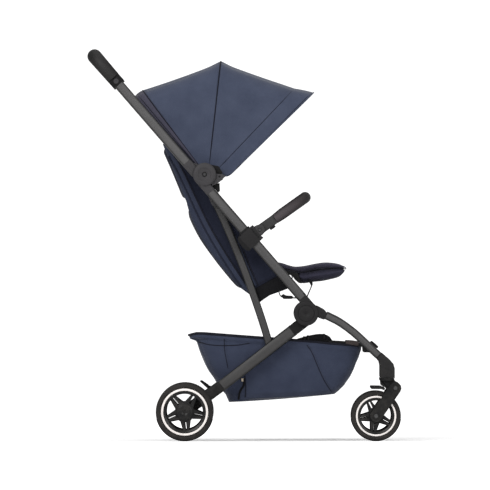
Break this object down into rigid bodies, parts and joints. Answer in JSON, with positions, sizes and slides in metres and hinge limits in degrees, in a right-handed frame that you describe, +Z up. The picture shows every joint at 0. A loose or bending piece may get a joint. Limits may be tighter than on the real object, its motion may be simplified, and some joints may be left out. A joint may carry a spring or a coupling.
{
  "type": "baby stroller",
  "caption": "Compact folding baby stroller with a reclining fabric seat, fan canopy, hanging basket, swivel front wheels and a one-piece handlebar.",
  "frame": {"origin": "on the floor, at the middle of the overall length and width", "axes": "+X forward, +Y to the rider's left, +Z up"},
  "size_m": [0.8461, 0.45, 1.056],
  "materials": {
    "tube": "satin anodised",
    "hinge_plastic": "fine moulded grain",
    "black_plastic": "fine moulded grain",
    "tyre": "matte",
    "rim": "semi-gloss",
    "stripe": "satin",
    "leather": "fine pebbled grain",
    "canopy_fabric": "fine twill",
    "basket_fabric": "fine twill",
    "seat_fabric": "fine twill",
    "webbing": "woven webbing",
    "steel": "brushed"
  },
  "bodies": {
    "frame": {"frame_tube_left": "tube", "frame_tube_right": "tube", "upper_hinge_left": "hinge_plastic", "upper_hinge_right": "hinge_plastic", "main_hinge_left": "hinge_plastic", "main_hinge_right": "hinge_plastic", "bumper_clamp_left": "black_plastic", "bumper_clamp_right": "black_plastic", "seat_base": "black_plastic", "seat_crossbar": "tube", "seat_cushion": "seat_fabric", "seat_shell": "seat_fabric", "harness_buckle": "black_plastic", "canopy_bow_rear": "black_plastic", "canopy_rear_panel": "canopy_fabric"},
    "rear_legs": {"rear_leg_tube_left": "tube", "rear_leg_tube_right": "tube", "rear_leg_hinge_left": "hinge_plastic", "rear_leg_hinge_right": "hinge_plastic", "rear_bracket_left": "black_plastic", "rear_bracket_right": "black_plastic", "rear_crossbar": "tube", "basket": "basket_fabric"},
    "front_legs": {"front_leg_tube_left": "tube", "front_leg_tube_right": "tube", "front_leg_hinge_left": "hinge_plastic", "front_leg_hinge_right": "hinge_plastic", "elbow_left": "black_plastic", "elbow_right": "black_plastic", "front_crossbar": "black_plastic"},
    "push_bar": {"push_tube_left": "tube", "push_tube_right": "tube", "push_hinge_left": "hinge_plastic", "push_hinge_right": "hinge_plastic", "handlebar_grip": "leather"},
    "fold_button": {"fold_button": "black_plastic"},
    "strut_left": {"strut_left": "tube"},
    "strut_right": {"strut_right": "tube"},
    "backrest": {"backrest": "seat_fabric"},
    "legrest": {"legrest": "seat_fabric"},
    "bumper_bar": {"bumper_bar": "leather"},
    "canopy_middle": {"canopy_bow_middle": "black_plastic", "canopy_front_panel": "canopy_fabric"},
    "canopy_front": {"canopy_bow_front": "black_plastic", "canopy_visor": "canopy_fabric"},
    "brake_pedal": {"brake_pedal": "black_plastic"},
    "swivel_head_left": {"swivel_head_left": "black_plastic"},
    "swivel_lock_left": {"swivel_lock_left": "black_plastic"},
    "front_fork_left": {"front_fork_left": "black_plastic"},
    "front_wheel_left": {"front_wheel_tyre_left": "tyre", "front_wheel_rim_left": "rim"},
    "rear_wheel_left": {"rear_wheel_tyre_left": "tyre", "rear_wheel_rim_left": "rim"},
    "swivel_head_right": {"swivel_head_right": "black_plastic"},
    "swivel_lock_right": {"swivel_lock_right": "black_plastic"},
    "front_fork_right": {"front_fork_right": "black_plastic"},
    "front_wheel_right": {"front_wheel_tyre_right": "tyre", "front_wheel_rim_right": "rim"},
    "rear_wheel_right": {"rear_wheel_tyre_right": "tyre", "rear_wheel_rim_right": "rim"}
  },
  "joints": [
    {"name": "rear_leg_fold", "type": "hinge", "parent": "frame", "child": "rear_legs", "pos_m": [0.1652, 0, 0.3443], "axis": [0, 1, 0], "range_deg": [0, 82], "deforming": ["basket", "seat_shell", "seat_cushion", "backrest"]},
    {"name": "front_leg_fold", "type": "hinge", "parent": "rear_legs", "child": "front_legs", "pos_m": [0.1652, 0, 0.3443], "axis": [0, 1, 0], "range_deg": [0, 60]},
    {"name": "push_bar_fold", "type": "hinge", "parent": "frame", "child": "push_bar", "pos_m": [-0.1094, 0, 0.7196], "axis": [0, 1, 0], "range_deg": [0, 153], "deforming": ["legrest", "canopy_rear_panel", "canopy_front_panel", "canopy_visor"]},
    {"name": "strut_turn_left", "type": "hinge", "parent": "rear_legs", "child": "strut_left", "pos_m": [0.0656, 0, 0.256], "axis": [0, 1, 0], "range_deg": [-95.5, 0]},
    {"name": "strut_turn_right", "type": "hinge", "parent": "rear_legs", "child": "strut_right", "pos_m": [0.0656, 0, 0.256], "axis": [0, 1, 0], "range_deg": [-95.5, 0]},
    {"name": "fold_button_press", "type": "slide", "parent": "push_bar", "child": "fold_button", "axis": [0.6534, 0, -0.757], "range_m": [0, 0.0035], "stiffness_N_per_m": 400, "springref_m": -0.004},
    {"name": "recline", "type": "hinge", "parent": "frame", "child": "backrest", "pos_m": [0.012, 0, 0.424], "axis": [0, 1, 0], "range_deg": [-28, 0]},
    {"name": "legrest_drop", "type": "hinge", "parent": "frame", "child": "legrest", "pos_m": [0.142, 0, 0.452], "axis": [0, 1, 0], "range_deg": [0, 70]},
    {"name": "bumper_turn", "type": "hinge", "parent": "frame", "child": "bumper_bar", "pos_m": [0.0394, 0, 0.5697], "axis": [0, 1, 0], "range_deg": [-35, 0]},
    {"name": "canopy_fold", "type": "hinge", "parent": "frame", "child": "canopy_middle", "pos_m": [-0.069, 0, 0.714], "axis": [0, 1, 0], "range_deg": [-33, 0]},
    {"name": "canopy_front_fold", "type": "hinge", "parent": "canopy_middle", "child": "canopy_front", "pos_m": [-0.069, 0, 0.714], "axis": [0, 1, 0], "range_deg": [-33, 0]},
    {"name": "brake_press", "type": "hinge", "parent": "rear_legs", "child": "brake_pedal", "pos_m": [-0.101, 0, 0.147], "axis": [0, 1, 0], "range_deg": [-20, 0]},
    {"name": "swivel_left", "type": "hinge", "parent": "front_legs", "child": "swivel_head_left", "pos_m": [0.384, 0.187, 0.15], "axis": [0, 0, 1], "continuous": true},
    {"name": "swivel_lock_lift_left", "type": "hinge", "parent": "swivel_head_left", "child": "swivel_lock_left", "pos_m": [0.3665, 0.187, 0.1433], "axis": [0, 1, 0], "range_deg": [0, 15]},
    {"name": "suspension_left", "type": "hinge", "parent": "swivel_head_left", "child": "front_fork_left", "pos_m": [0.406, 0.187, 0.1426], "axis": [0, 1, 0], "range_deg": [0, 5], "stiffness_Nm_per_rad": 40, "springref_deg": -6.88},
    {"name": "front_wheel_spin_left", "type": "hinge", "parent": "front_fork_left", "child": "front_wheel_left", "pos_m": [0.354, 0.187, 0.067], "axis": [0, 1, 0], "continuous": true},
    {"name": "rear_wheel_spin_left", "type": "hinge", "parent": "rear_legs", "child": "rear_wheel_left", "pos_m": [-0.163, 0.2125, 0.078], "axis": [0, 1, 0], "continuous": true},
    {"name": "swivel_right", "type": "hinge", "parent": "front_legs", "child": "swivel_head_right", "pos_m": [0.384, -0.187, 0.15], "axis": [0, 0, 1], "continuous": true},
    {"name": "swivel_lock_lift_right", "type": "hinge", "parent": "swivel_head_right", "child": "swivel_lock_right", "pos_m": [0.3665, -0.187, 0.1433], "axis": [0, 1, 0], "range_deg": [0, 15]},
    {"name": "suspension_right", "type": "hinge", "parent": "swivel_head_right", "child": "front_fork_right", "pos_m": [0.406, -0.187, 0.1426], "axis": [0, 1, 0], "range_deg": [0, 5], "stiffness_Nm_per_rad": 40, "springref_deg": -6.88},
    {"name": "front_wheel_spin_right", "type": "hinge", "parent": "front_fork_right", "child": "front_wheel_right", "pos_m": [0.354, -0.187, 0.067], "axis": [0, 1, 0], "continuous": true},
    {"name": "rear_wheel_spin_right", "type": "hinge", "parent": "rear_legs", "child": "rear_wheel_right", "pos_m": [-0.163, -0.2125, 0.078], "axis": [0, 1, 0], "continuous": true}
  ],
  "couplings": [
    {"joint": "front_leg_fold", "follows": "rear_leg_fold", "ratio": 0.73171},
    {"joint": "push_bar_fold", "follows": "rear_leg_fold", "ratio": 1.8659},
    {"joint": "strut_turn_left", "follows": "rear_leg_fold", "ratio": -1.1646},
    {"joint": "strut_turn_right", "follows": "rear_leg_fold", "ratio": -1.1646},
    {"joint": "canopy_front_fold", "follows": "canopy_fold", "ratio": 1}
  ]
}
